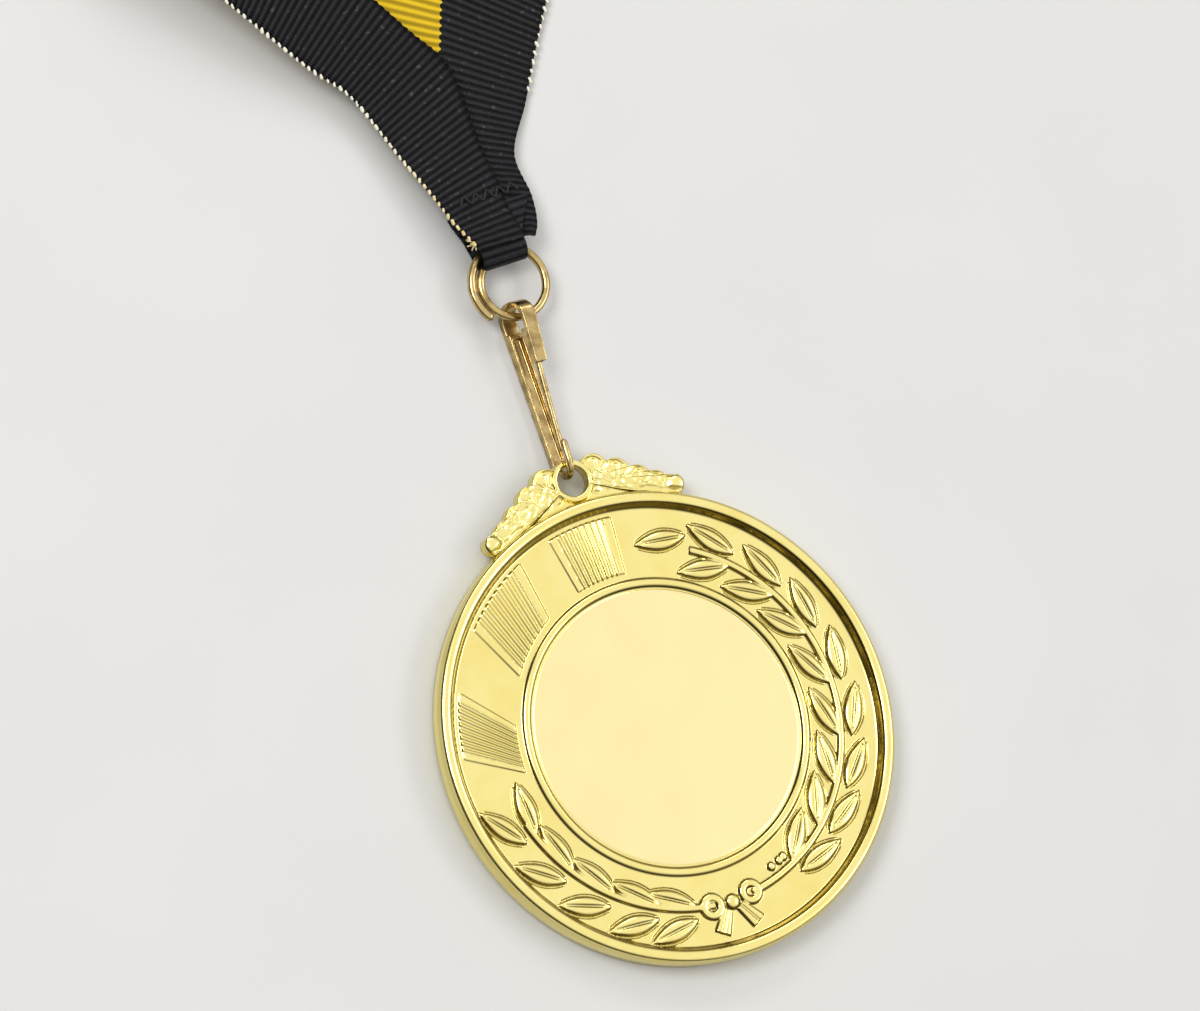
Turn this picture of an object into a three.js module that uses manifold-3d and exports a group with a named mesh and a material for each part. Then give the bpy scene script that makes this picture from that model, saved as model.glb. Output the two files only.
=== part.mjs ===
// A 50 mm award medal on its snap clip, split ring and neck ribbon, lying face up on a flat surface.
// Millimetres. The origin is the middle of the medal's flat back, +Y runs to the crest, +Z out of the face.

import * as THREE from 'three';
import { mergeVertices } from 'three/addons/utils/BufferGeometryUtils.js';
import Module from 'manifold-3d';

const wasm = await Module();
wasm.setup();

// ---------------------------------------------------------------- driving dimensions

const MEDAL_RADIUS = 25;
const MEDAL_THICKNESS = 3.0;
const BACK_BEVEL = 0.4;
const RIM_INNER_RADIUS = 23.9;      // where the rounded rim starts to fall to the field
const FIELD_RADIUS = 23.1;
const FIELD_HEIGHT = 1.9;
const BEAD_OUTER_RADIUS = 15.9;     // narrow raised ring round the plain centre
const BEAD_INNER_RADIUS = 14.8;
const BEAD_HEIGHT = 2.2;
const CENTRE_HEIGHT = 2.0;

const CREST_BOTTOM = 1.4;           // the crest is thinner than the disc, so the clip passes under it
const CREST_GROUND = 2.35;
const CREST_TOP = 2.7;
const HOLE_RADIUS = 1.65;
const HOLE_Y = 27.3;
const COLLAR_RADIUS = 2.4;
const CREST_LOBES = [               // x, y and radius of the scallops on the right; the left ones mirror them
  [2.9, 27.9, 1.6], [5.1, 26.7, 1.6], [7.2, 25.4, 1.45], [9.1, 24.4, 1.2], [10.9, 23.6, 1.05],
];
const CREST_FOOT = [9, 22];         // right corner of the crest's plate, hidden inside the disc's rim
const LOBE_KNOB_SHARE = 0.5;        // radius of the knob on each lobe, as a share of the lobe's own
const EMBED = 0.1;                  // how far raised work is sunk into the metal under it

const STEM_RADIUS = 19.2;           // the laurel stems follow this circle
const LEAF_LENGTH = 6.0;
const LEAF_WIDTH = 1.9;
const LEAF_RISE = 0.4;
const LEAF_NARROWING = 0.45;        // share of its width that a leaf loses at each end
const LEAF_CREST_SHARE = 0.12;      // width of a leaf's flat top, as a share of its foot
const TIP_LEAF = { radius: 20.7, angle: 28.5, heading: -82.8 };
const RIGHT_SPLAY = { inner: 33, outer: 6 };    // degrees by which a pair's two leaves leave the stem
const LEFT_SPLAY = { inner: 18, outer: 20 };
const RIGHT_LEAVES = [44, 61, 77, 94, 111, 127, 142, 157];   // clockwise from the crest, in degrees
const LEFT_LEAVES = [-109, -125, -140, -155, -167];
const RAY_PANELS = [                // two corners near the rim, and the point that the ribs are aimed at
  { from: [-4.0, 22.6], to: [1.9, 22.8], aim: [-0.5, -4] },
  { from: [-15.6, 16.8], to: [-9.6, 20.7], aim: [-5.3, -7] },
  { from: [-22.3, 4.4], to: [-20.8, 9.9], aim: [-6, -5.8] },
];
const RIB_RISE = 0.22;
const RIB_COUNT = 8;
const RIB_HALF_WIDTH = 0.24;
const RIB_TAPER = 0.7;              // width of a rib's inner end, as a share of its outer end
const BOW_RISE = 0.35;

const CLIP_AXIS_Y = 28.1;           // where the hook passes up through the crest's hole
const CLIP_LEAN = -3.94;            // degrees, the clip points a little right of the medal's axis
const CLIP_WIDTH = 1.66;
const GROOVE_WIDTH = 1.1;
const HOOK_WIRE = 0.4;              // wire radii
const GATE_WIRE = 0.33;
const HOOK_BACK_Z = 0.55;
const HOOK_FRONT_Z = 3.4;
const HOOK_BEND_Y = 1.3;            // from here on Y is counted along the clip from CLIP_AXIS_Y
const HOOK_TIP_Y = 3.2;
const HOOK_START_Y = 1.8;           // its root, inside the back limb
const HOOK_BEND_STEPS = 10;
const LIMB_START_Y = 1.1;
const LIMB_BOTTOM = 0.05;
const LIMB_TOP = 1.0;
const LIMB_FLOOR = 0.35;
const GROOVE_START_Y = 1.95;
const HOOD_START_Y = 12.0;
const HOOD_BOTTOM = 2.9;
const HOOD_TOP = 4.1;
const HOOD_ROOF = 3.8;
const HOOD_SLOPE = 0.15;            // how much lower the hood's top is at its open end
const HOOD_NARROWER = 0.08;         // share of its width that the hood has lost at the eye
const HOOD_TAPER = 0.16;            // and the further share that it loses towards its open end
const EYE_Y = 17.1;                 // centre of the eye that holds the ring
const EYE_STRIP = 0.5;
const WALL_END_Y = 15.9;
const GROOVE_END_Y = 16.4;
const GATE_TOP_Y = 16.2;
const GATE_PIVOT_Y = 15.7;
const GATE_PIVOT_Z = 3.3;
const GATE_END_Y = 2.5;
const GATE_END_Z = 2.5;
const GROOVE_SETBACK = 0.5;         // the back limb's groove stops this far before the wall
const CLIP_TWIST = 0.29;            // sideways lean at the eye for each millimetre above TWIST_LEVEL
const TWIST_LEVEL = 2;

const RING_CENTRE = new THREE.Vector3(2.0, 49.05, 1.9);
const RING_WIRE = 0.45;
const RING_OUTER_END_RADIUS = 4.5;
const RING_PITCH = 1.0;             // how far one full turn of the wire moves inwards
const RING_START = 216;             // degrees, the visible outer end of the wire
const RING_SWEEP = 436;
const RING_STEPS = 54;

const RIBBON_WIDTH = 22;            // half black, half yellow, folded along the middle at the ring
const RIBBON_PLY = 0.4;
const LOOP_CENTRE_Y = 52.65;        // the ribbon's wrap round the top of the ring
const LOOP_RADIUS = 1.2;            // of the tunnel that the ring's wire runs through
const LOOP_WALL = 0.42;
const LOOP_END_Y = 57;
const LOOP_TAIL_HALF_HEIGHT = 0.75;
const LOOP_OUTLINE = [              // from above: narrow at the ring, as wide as both straps at its tail
  [-0.3, 50], [4.5, 50], [4.7, 53.9], [6.9, 55.2],
  [7.6, 58], [-2.1, 58], [-1.2, 55.2], [-0.5, 53.9],
];
const STRAP_START_Y = 57.3;
const STACK_NEAR_Y = 97;            // the rest of the ribbon, folded to and fro in a flat stack
const STACK_LEFT_X = -28;
const STACK_RIGHT_X = 34;
const STACK_BOTTOM = 0.8;
const STACK_TOP = 5.4;
const TACK_START_X = -0.6;          // the first stitch of the zigzag, then one every TACK_STEP
const TACK_STEP = 0.68;
const TACK_STITCHES = 10;
const TACK_Y = 58.6;
const TACK_HALF_WIDTH = 0.45;
const TACK_Z = 2.98;
const TACK_THREAD_RADIUS = 0.12;

// ---------------------------------------------------------------- materials

function metal(colour, roughness) {
  return new THREE.MeshStandardMaterial({ color: colour, roughness, metalness: 1 });
}

function cloth(colour) {
  return new THREE.MeshStandardMaterial({ color: colour, roughness: 0.9, metalness: 0 });
}

const GOLD = metal(0xf0d96a, 0.22);
const ANTIQUE_GOLD = metal(0xd8b878, 0.3);
const BLACK_GROSGRAIN = cloth(0x17171b);
const YELLOW_GROSGRAIN = cloth(0xe0b81a);
const BLACK_THREAD = cloth(0x222226);

// ---------------------------------------------------------------- solids

// A closed three.js geometry as a solid that can be joined and cut.
function solid(geometry) {
  const bare = geometry.index ? geometry.toNonIndexed() : geometry.clone();
  bare.deleteAttribute('normal');
  bare.deleteAttribute('uv');
  const merged = mergeVertices(bare, 1e-4);
  const index = merged.index.array;
  const triangles = [];
  for (let i = 0; i < index.length; i += 3) {
    const [a, b, c] = [index[i], index[i + 1], index[i + 2]];
    if (a !== b && b !== c && c !== a) {
      triangles.push(a, b, c);
    }
  }
  return new wasm.Manifold(new wasm.Mesh({
    numProp: 3,
    vertProperties: new Float32Array(merged.attributes.position.array),
    triVerts: new Uint32Array(triangles),
  }));
}

function namedMesh(name, shape, material) {
  const data = shape.getMesh();
  const geometry = new THREE.BufferGeometry();
  geometry.setAttribute('position', new THREE.BufferAttribute(new Float32Array(data.vertProperties), 3));
  geometry.setIndex(new THREE.BufferAttribute(new Uint32Array(data.triVerts), 1));
  geometry.computeVertexNormals();
  const mesh = new THREE.Mesh(geometry, material);
  mesh.name = name;
  return mesh;
}

function joined(shapes) {
  return shapes.reduce((total, shape) => total.add(shape));
}

function lathe(profile, segments) {
  const points = profile.map(([radius, height]) => new THREE.Vector2(radius, height));
  return new THREE.LatheGeometry(points, segments).rotateX(Math.PI / 2).rotateZ(Math.PI / segments);
}

function upright(radius, bottom, top, x, y, segments = 24) {
  const geometry = new THREE.CylinderGeometry(radius, radius, top - bottom, segments);
  return geometry.rotateX(Math.PI / 2).translate(x, y, (bottom + top) / 2);
}

function plate(points, bottom, top) {
  const shape = new THREE.Shape(points.map(([x, y]) => new THREE.Vector2(x, y)));
  const geometry = new THREE.ExtrudeGeometry(shape, { depth: top - bottom, bevelEnabled: false });
  return geometry.translate(0, 0, bottom);
}

// A round wire along a curve.
function wire(curve, radius, steps, sides) {
  const section = new THREE.Shape();
  section.absarc(0, 0, radius, 0, 2 * Math.PI, false);
  return new THREE.ExtrudeGeometry(section, {
    steps, curveSegments: sides, bevelEnabled: false, extrudePath: curve,
  });
}

// Moves every vertex of a geometry by a rule.
function reshaped(geometry, rule) {
  const position = geometry.attributes.position;
  const point = new THREE.Vector3();
  for (let i = 0; i < position.count; i += 1) {
    point.fromBufferAttribute(position, i);
    rule(point);
    position.setXYZ(i, point.x, point.y, point.z);
  }
  return geometry;
}

// A point at a radius and an angle counted clockwise from the crest.
function polar(radius, degrees) {
  const angle = THREE.MathUtils.degToRad(degrees);
  return [radius * Math.sin(angle), radius * Math.cos(angle)];
}

// ---------------------------------------------------------------- the medal

function discBody() {
  return lathe([
    [0, 0],
    [MEDAL_RADIUS - BACK_BEVEL, 0],
    [MEDAL_RADIUS, BACK_BEVEL],
    [MEDAL_RADIUS, MEDAL_THICKNESS - 0.5],
    [MEDAL_RADIUS - 0.15, MEDAL_THICKNESS - 0.2],
    [MEDAL_RADIUS - 0.5, MEDAL_THICKNESS],
    [RIM_INNER_RADIUS, MEDAL_THICKNESS - 0.05],
    [RIM_INNER_RADIUS - 0.35, MEDAL_THICKNESS - 0.4],
    [FIELD_RADIUS, FIELD_HEIGHT],
    [BEAD_OUTER_RADIUS, FIELD_HEIGHT],
    [BEAD_OUTER_RADIUS - 0.3, BEAD_HEIGHT],
    [BEAD_INNER_RADIUS + 0.3, BEAD_HEIGHT],
    [BEAD_INNER_RADIUS, CENTRE_HEIGHT],
    [0, CENTRE_HEIGHT],
  ], 72);
}

// One laurel leaf: a low pointed ridge on the field.
function leaf(baseRadius, baseAngle, heading) {
  const [x, y] = polar(baseRadius, baseAngle);
  const geometry = new THREE.CylinderGeometry(LEAF_CREST_SHARE, 1, 1, 8).rotateX(Math.PI / 2);
  reshaped(geometry, (point) => {
    const along = point.y;
    point.x *= (1 - LEAF_NARROWING * along * along) * LEAF_WIDTH / 2;
    point.y *= LEAF_LENGTH / 2;
    point.z = (point.z + 0.5) * (LEAF_RISE + EMBED) - EMBED;
  });
  geometry.translate(0, LEAF_LENGTH / 2, FIELD_HEIGHT);
  geometry.rotateZ(THREE.MathUtils.degToRad(-heading)).translate(x, y, 0);
  return geometry;
}

// Pairs of leaves climb a branch from the bow. turn is -1 for the right branch, whose angles fall, and +1
// for the left.
function branch(pairAngles, turn, splay) {
  return pairAngles.flatMap((angle) => {
    const forward = angle + turn * 90;
    return [
      leaf(STEM_RADIUS - 0.2, angle, forward + turn * splay.inner),
      leaf(STEM_RADIUS + 1.2, angle, forward - turn * splay.outer),
    ];
  });
}

// A fluted panel: radial ribs between two points near the rim, all aimed at one point.
function rayPanel({ from, to, aim }) {
  const ribs = [];
  for (let i = 0; i < RIB_COUNT; i += 1) {
    const start = new THREE.Vector2(...from).lerp(new THREE.Vector2(...to), (i + 0.5) / RIB_COUNT);
    const along = new THREE.Vector2(...aim).sub(start).normalize();
    const side = new THREE.Vector2(-along.y, along.x).multiplyScalar(RIB_HALF_WIDTH);
    const end = start.clone().addScaledVector(along, start.length() - BEAD_OUTER_RADIUS - 0.5);
    ribs.push(plate([
      [start.x + side.x, start.y + side.y],
      [start.x - side.x, start.y - side.y],
      [end.x - side.x * RIB_TAPER, end.y - side.y * RIB_TAPER],
      [end.x + side.x * RIB_TAPER, end.y + side.y * RIB_TAPER],
    ], FIELD_HEIGHT - EMBED, FIELD_HEIGHT + RIB_RISE));
  }
  return ribs;
}

// Two loops, a knot and two tails where the branches meet.
function bow() {
  const bottom = FIELD_HEIGHT - EMBED;
  const top = FIELD_HEIGHT + BOW_RISE;
  return [
    upright(1.35, bottom, top, -2.6, -19.2, 14),
    upright(1.25, bottom, top, 1.9, -18.9, 14),
    upright(0.8, bottom, top + 0.1, -0.4, -19.3, 12),
    plate([[-1.2, -19.9], [-1.6, -21.9], [-3.3, -21.7], [-2.3, -19.7]], bottom, top - 0.1),
    plate([[0.2, -19.8], [0.3, -21.9], [2.1, -21.8], [1.4, -19.6]], bottom, top - 0.1),
  ];
}

// The crest is a scalloped plate with a scroll at each end and a plain raised collar round the hole.
function crest() {
  const right = [...CREST_LOBES.map(([x, y]) => [x, y]), CREST_FOOT];
  const left = right.map(([x, y]) => [-x, y]).reverse();
  const ground = plate([...left, ...right].reverse(), CREST_BOTTOM, CREST_GROUND);
  const shapes = [ground, upright(COLLAR_RADIUS, CREST_BOTTOM, CREST_TOP, 0, HOLE_Y, 32)];
  for (const [x, y, radius] of CREST_LOBES) {
    for (const side of [-1, 1]) {
      shapes.push(upright(radius, CREST_BOTTOM, CREST_GROUND + EMBED, side * x, y, 18));
      shapes.push(upright(radius * LOBE_KNOB_SHARE, CREST_GROUND - EMBED, CREST_TOP, side * x, y, 12));
    }
  }
  return shapes;
}

function medal() {
  const relief = [
    leaf(TIP_LEAF.radius, TIP_LEAF.angle, TIP_LEAF.heading),
    ...branch(RIGHT_LEAVES, -1, RIGHT_SPLAY),
    ...branch(LEFT_LEAVES, 1, LEFT_SPLAY),
    ...RAY_PANELS.flatMap(rayPanel),
    ...bow(),
  ];
  const body = joined([discBody(), ...crest(), ...relief].map(solid));
  const hole = solid(upright(HOLE_RADIUS, 0, MEDAL_THICKNESS + 1, 0, HOLE_Y, 32));
  return namedMesh('medal_disc', body.subtract(hole), GOLD);
}

// ---------------------------------------------------------------- the snap clip

// Clip pieces are drawn side-on, along the clip and up, and pushed out across its width.
const SIDE_ON = new THREE.Matrix4().makeBasis(
  new THREE.Vector3(0, 1, 0), new THREE.Vector3(0, 0, 1), new THREE.Vector3(1, 0, 0),
);

function sideOn(shape, width) {
  const geometry = new THREE.ExtrudeGeometry(shape, { depth: width, bevelEnabled: false, curveSegments: 10 });
  return geometry.translate(0, 0, -width / 2).applyMatrix4(SIDE_ON);
}

function slot(from, to, bottom, top) {
  return new THREE.BoxGeometry(GROOVE_WIDTH, to - from, top - bottom)
    .translate(0, (from + to) / 2, (bottom + top) / 2);
}

// The folded strip: the back limb, round the eye, and the hood over the gate's top end.
function clipStrip() {
  const eyeZ = (LIMB_BOTTOM + HOOD_TOP) / 2;
  const outer = (HOOD_TOP - LIMB_BOTTOM) / 2;
  const inner = outer - EYE_STRIP;
  const shape = new THREE.Shape();
  shape.moveTo(LIMB_START_Y, LIMB_BOTTOM);
  shape.lineTo(EYE_Y, LIMB_BOTTOM);
  shape.absarc(EYE_Y, eyeZ, outer, -Math.PI / 2, Math.PI / 2, false);
  shape.lineTo(HOOD_START_Y, HOOD_TOP - HOOD_SLOPE);
  shape.lineTo(HOOD_START_Y, HOOD_BOTTOM);
  shape.lineTo(WALL_END_Y, HOOD_BOTTOM);
  shape.lineTo(WALL_END_Y, eyeZ + inner);
  shape.lineTo(EYE_Y, eyeZ + inner);
  shape.absarc(EYE_Y, eyeZ, inner, Math.PI / 2, -Math.PI / 2, true);
  shape.lineTo(WALL_END_Y, eyeZ - inner);
  shape.lineTo(WALL_END_Y, LIMB_TOP);
  shape.lineTo(LIMB_START_Y, LIMB_TOP);
  return solid(sideOn(shape, CLIP_WIDTH))
    .subtract(solid(slot(GROOVE_START_Y, WALL_END_Y - GROOVE_SETBACK, LIMB_FLOOR, LIMB_TOP + 1)))
    .subtract(solid(slot(HOOD_START_Y - 1, GROOVE_END_Y, HOOD_BOTTOM - 1, HOOD_ROOF)))
    .warp(taperHood);
}

// The hood gets narrower from the eye to its open end.
function taperHood(vertex) {
  const front = THREE.MathUtils.smoothstep(vertex[2], TWIST_LEVEL, HOOD_BOTTOM);
  const openEnd = THREE.MathUtils.clamp((EYE_Y - vertex[1]) / (EYE_Y - HOOD_START_Y), 0, 1);
  vertex[0] *= 1 - front * (HOOD_NARROWER + HOOD_TAPER * openEnd);
}

// The hook: a round wire from the back limb, up through the crest's hole, to a tip in front.
function hook() {
  const bend = (HOOK_FRONT_Z - HOOK_BACK_Z) / 2;
  const middle = (HOOK_FRONT_Z + HOOK_BACK_Z) / 2;
  const at = (y, z) => new THREE.Vector3(0, y, z);
  const points = [at(HOOK_START_Y, HOOK_BACK_Z)];
  for (let step = 0; step <= HOOK_BEND_STEPS; step += 1) {
    const angle = -Math.PI / 2 - Math.PI * step / HOOK_BEND_STEPS;
    points.push(at(HOOK_BEND_Y + bend * Math.cos(angle), middle + bend * Math.sin(angle)));
  }
  points.push(at(HOOK_TIP_Y, HOOK_FRONT_Z));
  const tip = new THREE.SphereGeometry(HOOK_WIRE, 12, 8).translate(0, HOOK_TIP_Y, HOOK_FRONT_Z);
  const curve = new THREE.CatmullRomCurve3(points, false, 'centripetal');
  return solid(wire(curve, HOOK_WIRE, 36, 10)).add(solid(tip));
}

function gate() {
  const from = new THREE.Vector3(0, GATE_END_Y, GATE_END_Z);
  const to = new THREE.Vector3(0, GATE_PIVOT_Y, GATE_PIVOT_Z);
  const top = new THREE.Vector3(0, GATE_TOP_Y, GATE_PIVOT_Z);
  return solid(wire(new THREE.CatmullRomCurve3([from, to, top], false, 'centripetal'), GATE_WIRE, 16, 10));
}

// The limbs are not quite one above the other: the front one leans right towards the eye.
function twisted(shape) {
  return shape.warp((vertex) => {
    const reach = vertex[1] / EYE_Y;
    vertex[0] += CLIP_TWIST * reach * (vertex[2] - TWIST_LEVEL);
  });
}

function clip() {
  const group = new THREE.Group();
  group.position.set(0, CLIP_AXIS_Y, 0);
  group.rotation.z = THREE.MathUtils.degToRad(CLIP_LEAN);
  group.add(namedMesh('clip_body', twisted(clipStrip().add(hook())), ANTIQUE_GOLD));
  group.add(namedMesh('clip_gate', twisted(gate()), ANTIQUE_GOLD));
  return group;
}

// ---------------------------------------------------------------- the ring

// The wire makes one turn and a little more, so its ends lie side by side on the left.
class RingWire extends THREE.Curve {
  getPoint(t, target = new THREE.Vector3()) {
    const sweep = RING_SWEEP * t;
    const angle = THREE.MathUtils.degToRad(RING_START - sweep);
    const radius = RING_OUTER_END_RADIUS - RING_PITCH * sweep / 360;
    return target.set(radius * Math.cos(angle), radius * Math.sin(angle), 0);
  }
}

function ring() {
  const mesh = namedMesh('split_ring', solid(wire(new RingWire(), RING_WIRE, RING_STEPS, 10)), ANTIQUE_GOLD);
  mesh.position.copy(RING_CENTRE);
  return mesh;
}

// ---------------------------------------------------------------- the ribbon

// The two sewn ends wrap the top of the ring and leave a tunnel that the wire runs through.
function ringLoop() {
  const z = RING_CENTRE.z;
  const outer = LOOP_RADIUS + LOOP_WALL;
  const tailStart = LOOP_CENTRE_Y + LOOP_RADIUS;
  const side = new THREE.Shape();
  side.moveTo(LOOP_CENTRE_Y, z - outer);
  side.lineTo(tailStart, z - outer);
  side.lineTo(LOOP_END_Y, z - LOOP_TAIL_HALF_HEIGHT);
  side.lineTo(LOOP_END_Y, z + LOOP_TAIL_HALF_HEIGHT);
  side.lineTo(tailStart, z + outer);
  side.lineTo(LOOP_CENTRE_Y, z + outer);
  side.absarc(LOOP_CENTRE_Y, z, outer, Math.PI / 2, 3 * Math.PI / 2, false);
  const tunnel = new THREE.Path();
  tunnel.absarc(LOOP_CENTRE_Y, z, LOOP_RADIUS, 0, 2 * Math.PI, true);
  side.holes.push(tunnel);
  const block = solid(sideOn(side, RIBBON_WIDTH));
  const outline = solid(plate(LOOP_OUTLINE, 0, STACK_TOP));
  return namedMesh('ribbon_ring_loop', block.intersect(outline), BLACK_GROSGRAIN);
}

// A flat strip between two edges. Each edge is a smooth curve through hand-picked points; the height
// of its underside goes from one value to the other with a smooth step between two distances.
function strap(name, leftEdge, rightEdge, height, material) {
  const steps = 18;
  const left = new THREE.CatmullRomCurve3(leftEdge.map(([x, y]) => new THREE.Vector3(x, y, 0)));
  const right = new THREE.CatmullRomCurve3(rightEdge.map(([x, y]) => new THREE.Vector3(x, y, 0)));
  const geometry = reshaped(new THREE.BoxGeometry(1, 1, 1, 1, steps, 1), (point) => {
    const along = point.y + 0.5;
    const across = point.x + 0.5;
    const place = left.getPoint(along).lerp(right.getPoint(along), across);
    const rise = THREE.MathUtils.smoothstep(place.y, height.fromY, height.toY);
    place.z = THREE.MathUtils.lerp(height.start, height.end, rise) + (point.z + 0.5) * height.thickness;
    point.copy(place);
  });
  return namedMesh(name, solid(geometry), material);
}

function straps() {
  const leftStrap = strap(
    'ribbon_left_strap',
    [[-2.1, STRAP_START_Y], [-4.0, 63.3], [-7.2, 72.4], [-11.2, 77.2], [-18, 86.3], [-26, 97.2]],
    [[4.3, STRAP_START_Y], [4.3, 64], [4.3, 72.4], [0.6, 78.2], [-8, 90.5], [-20.3, 108.2]],
    { start: 1.75, end: STACK_TOP + 0.3, fromY: 66, toY: 94, thickness: 2 * RIBBON_PLY },
    BLACK_GROSGRAIN,
  );
  const rightStrap = strap(
    'ribbon_right_strap',
    [[2.4, STRAP_START_Y], [2.0, 62], [0.5, 72], [-2.3, 79], [2, 88.5], [10, 101.5], [20, 118.7]],
    [[7.7, STRAP_START_Y], [8.0, 62], [11.6, 67], [15.3, 71.8], [21, 79.5], [27, 89.5], [31.8, 98.2]],
    { start: 0.55, end: 0, fromY: 58, toY: 66, thickness: RIBBON_PLY + 0.1 },
    YELLOW_GROSGRAIN,
  );
  return [leftStrap, rightStrap];
}

// Eleven plies folded to and fro, standing in for the rest of the neck loop.
function foldedStack() {
  const middle = (STACK_BOTTOM + STACK_TOP) / 2;
  const half = (STACK_TOP - STACK_BOTTOM) / 2;
  const profile = new THREE.Shape();
  profile.moveTo(STACK_LEFT_X + half / 2, STACK_BOTTOM);
  profile.lineTo(STACK_RIGHT_X - half / 2, STACK_BOTTOM);
  profile.absellipse(STACK_RIGHT_X - half / 2, middle, half / 2, half, -Math.PI / 2, Math.PI / 2, false, 0);
  profile.lineTo(STACK_LEFT_X + half / 2, STACK_TOP);
  profile.absellipse(STACK_LEFT_X + half / 2, middle, half / 2, half, Math.PI / 2, 3 * Math.PI / 2, false, 0);
  const geometry = new THREE.ExtrudeGeometry(profile, { depth: RIBBON_WIDTH, bevelEnabled: false });
  geometry.rotateX(Math.PI / 2).translate(0, STACK_NEAR_Y + RIBBON_WIDTH, 0);
  return namedMesh('ribbon_folded_stack', solid(geometry), BLACK_GROSGRAIN);
}

// A zigzag bar tack through the plies just above the ring.
function barTack() {
  const points = [];
  for (let i = 0; i <= TACK_STITCHES; i += 1) {
    const side = i % 2 ? TACK_HALF_WIDTH : -TACK_HALF_WIDTH;
    points.push(new THREE.Vector3(TACK_START_X + TACK_STEP * i, TACK_Y + side, TACK_Z));
  }
  const curve = new THREE.CatmullRomCurve3(points, false, 'centripetal');
  return namedMesh('bar_tack_thread', solid(wire(curve, TACK_THREAD_RADIUS, 60, 6)), BLACK_THREAD);
}

// ---------------------------------------------------------------- the whole medal

const award = new THREE.Group();
award.add(medal(), clip(), ring(), ringLoop(), ...straps(), foldedStack(), barTack());

export default award;
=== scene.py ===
"""Looks for a 50 mm award medal on its snap clip, split ring and folded two-colour neck ribbon.

All shapes are worked out in millimetres in the frame of the CAD part, then turned into metres for the mesh.
The origin is the middle of the medal's back, +Y runs to the crest and +Z points out of the decorated face.
Angles on the medal are in degrees, counted clockwise from the crest.
"""

import math

import bmesh
import bpy
import numpy as np
from mathutils import Matrix, Vector


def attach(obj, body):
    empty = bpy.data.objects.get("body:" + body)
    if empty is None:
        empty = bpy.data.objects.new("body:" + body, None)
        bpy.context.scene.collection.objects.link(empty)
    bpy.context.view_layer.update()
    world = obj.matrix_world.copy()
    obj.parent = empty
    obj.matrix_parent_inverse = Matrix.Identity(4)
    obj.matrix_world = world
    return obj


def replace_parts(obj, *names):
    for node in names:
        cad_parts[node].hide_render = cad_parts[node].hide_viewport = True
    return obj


MM = 0.001

# ---------------------------------------------------------------- the disc, in mm

MEDAL_RADIUS = 25.0
MEDAL_TOP = 3.0
FIELD_RADIUS = 23.1
FIELD_HEIGHT = 1.9
CENTRE_HEIGHT = 2.0
BEAD_OUTER_RADIUS = 15.9
BEAD_INNER_RADIUS = 14.3
SATIN_RADIUS = 14.6

# The turned surface as (radius, height): satin centre, groove, bead, field and rounded rim.
FACE_PROFILE = [
    (0, CENTRE_HEIGHT), (14.45, CENTRE_HEIGHT), (14.75, 1.86),
    (15.0, 2.16), (15.2, 2.24), (15.5, 2.24), (15.68, 2.14),
    (BEAD_OUTER_RADIUS, FIELD_HEIGHT), (FIELD_RADIUS, FIELD_HEIGHT),
    (23.35, 2.06), (23.6, 2.6), (23.8, 2.86), (24.1, 2.98),
    (24.45, MEDAL_TOP), (24.7, 2.9), (24.9, 2.68), (MEDAL_RADIUS, 2.4),
]
BACK_PROFILE = [
    (0, 0), (12, 0), (24.45, 0), (24.75, 0.1), (24.92, 0.28), (MEDAL_RADIUS, 0.5), (MEDAL_RADIUS, 1.5),
]
DISC_COLUMNS = 1440
RIM_RINGS = 20
FIELD_RINGS = 84
BEAD_RINGS = 16
CENTRE_RINGS = [12, 9, 6, 3, 0]

# Painted shade, standing in for dark reflections, on the relief's steep sides: full on the worked field, less
# on the ray panels and outside the field, and none in the centre.
WORKED_INNER_RADIUS = 14
WORKED_OUTER_RADIUS = 23.9
WORKED_LOWEST = 1.8
PAINTED_SHADE_SLOPES = (0.05, 0.3)
PANEL_PAINTED_SHADE = 0.45
OUTER_PAINTED_SHADE = 0.35

# ---------------------------------------------------------------- the relief, in mm and degrees

STEM_RADIUS = 19.2
STEM_HALF_WIDTH = 0.42
STEM_RISE = 0.38
RIGHT_STEM = (30, 174)
LEFT_STEM = (-173, -104)

LEAF_LENGTH = 6.0
LEAF_WIDTH = 2.1
LEAF_RISE = 0.5
VEIN_DEPTH = 0.5
VEIN_WIDTH = 0.16
VEIN_SPAN = (0.15, 0.85)
LEAF_CUT_DEPTH = 0.2
LEAF_CUT_PLACE = 0.12
LEAF_CUT_WIDTH = 0.1
LEAF_CUT_FROM = 0.25
RIGHT_LEAVES = [44, 61, 77, 94, 111, 127, 142, 157]
LEFT_LEAVES = [-109, -125, -140, -155, -167]
RIGHT_SPLAY = (33, 6)
LEFT_SPLAY = (18, 20)
INNER_LEAF_INSET = 0.2
OUTER_LEAF_OFFSET = 1.2
TIP_LEAF_ANGLE = 28.5
TIP_LEAF_OFFSET = 1.5
TIP_LEAF_HEADING = -82.8

BERRIES = (158, 160, 163.5, -160)
BERRY_PLACE = 18.0
BERRY_RADIUS = 0.5
BERRY_RISE = 0.4

# The bow: (middle, radius, half width) of each loop, (middle, radius, rise) of the knot, and (start, end) of
# each tail.
BOW_LOOPS = [((-2.7, -19.1), 0.95, 0.5), ((1.9, -18.95), 0.9, 0.48)]
BOW_LOOP_RISE = 0.42
BOW_KNOT = ((-0.4, -19.3), 0.85, 0.55)
BOW_TAILS = [((-1.2, -19.9), (-2.7, -22.1)), ((0.3, -19.9), (1.6, -22.1))]
BOW_TAIL_HALF_WIDTH = 0.62
BOW_TAIL_RISE = 0.4

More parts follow.
